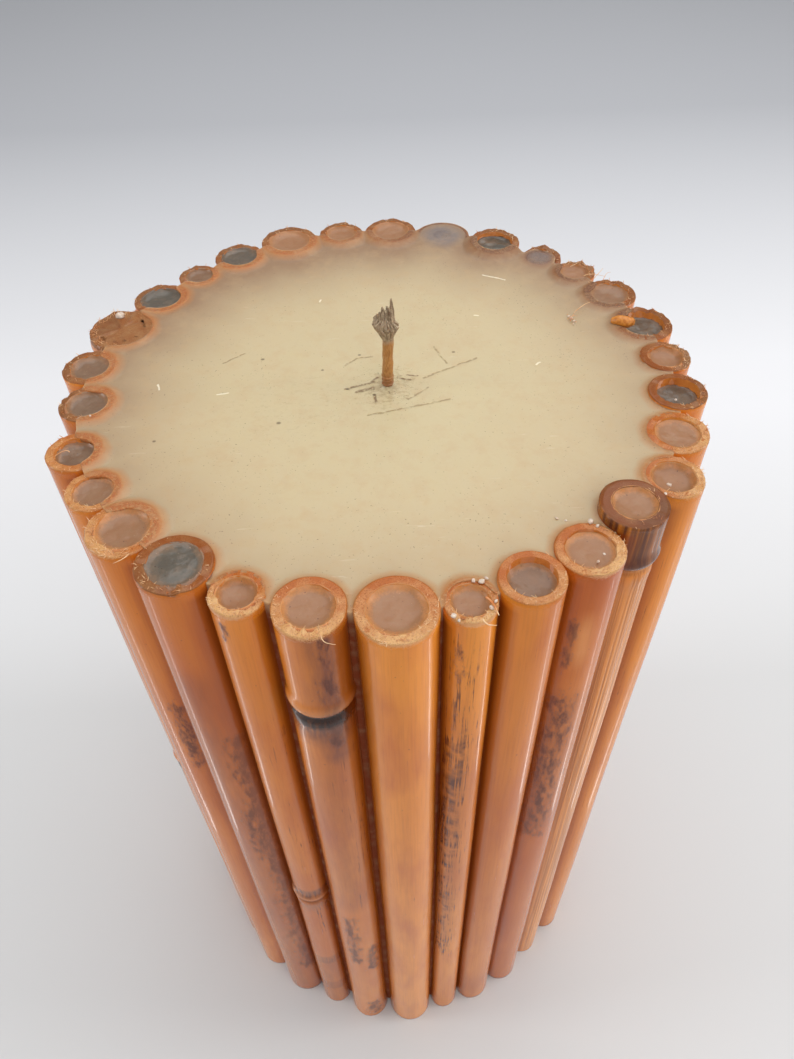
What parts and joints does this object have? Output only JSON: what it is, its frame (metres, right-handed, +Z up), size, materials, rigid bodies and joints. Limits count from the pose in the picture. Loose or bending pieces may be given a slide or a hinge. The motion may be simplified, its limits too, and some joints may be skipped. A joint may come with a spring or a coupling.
{
  "type": "bamboo pillar candle",
  "caption": "Round pillar candle of cream wax cast inside a ring of upright bamboo canes, with one off-centre cotton wick on a metal tab.",
  "frame": {"origin": "centre of the underside, where the candle rests on the table", "axes": "+Z up along the candle; -Y is the front, the side with the widest cane; +X is to the right seen from the front"},
  "size_m": [0.1037, 0.1043, 0.1938],
  "materials": {
    "bamboo": "satin orange-tan cane skin with dark stains",
    "wax": "smooth cream wax, slightly translucent",
    "bore_wax": "smooth wax over dark bores, pinkish tan to blue grey",
    "waxed_cotton": "tan waxed cotton, grey and frayed at the tip",
    "tinned_steel": "dull tinned sheet"
  },
  "bodies": {
    "root": {"bore_wax_01": "bore_wax", "bore_wax_02": "bore_wax", "bore_wax_03": "bore_wax", "bore_wax_04": "bore_wax", "bore_wax_05": "bore_wax", "bore_wax_06": "bore_wax", "bore_wax_07": "bore_wax", "bore_wax_08": "bore_wax", "bore_wax_09": "bore_wax", "bore_wax_10": "bore_wax", "bore_wax_11": "bore_wax", "bore_wax_12": "bore_wax", "bore_wax_14": "bore_wax", "bore_wax_16": "bore_wax", "bore_wax_17": "bore_wax", "bore_wax_18": "bore_wax", "bore_wax_19": "bore_wax", "bore_wax_20": "bore_wax", "bore_wax_21": "bore_wax", "bore_wax_23": "bore_wax", "bore_wax_24": "bore_wax", "bore_wax_25": "bore_wax", "bore_wax_26": "bore_wax", "bore_wax_27": "bore_wax", "bore_wax_28": "bore_wax", "bore_wax_29": "bore_wax", "bore_wax_30": "bore_wax", "cane_01": "bamboo", "cane_02": "bamboo", "cane_03": "bamboo", "cane_04": "bamboo", "cane_05": "bamboo", "cane_06": "bamboo", "cane_07": "bamboo", "cane_08": "bamboo", "cane_09": "bamboo", "cane_10": "bamboo", "cane_11": "bamboo", "cane_12": "bamboo", "cane_13": "bamboo", "cane_14": "bamboo", "cane_15": "bamboo", "cane_16": "bamboo", "cane_17": "bamboo", "cane_18": "bamboo", "cane_19": "bamboo", "cane_20": "bamboo", "cane_21": "bamboo", "cane_22": "bamboo", "cane_23": "bamboo", "cane_24": "bamboo", "cane_25": "bamboo", "cane_26": "bamboo", "cane_27": "bamboo", "cane_28": "bamboo", "cane_29": "bamboo", "cane_30": "bamboo", "wax_pillar": "wax", "wick": "waxed_cotton", "wick_tab": "tinned_steel"}
  },
  "joints": []
}
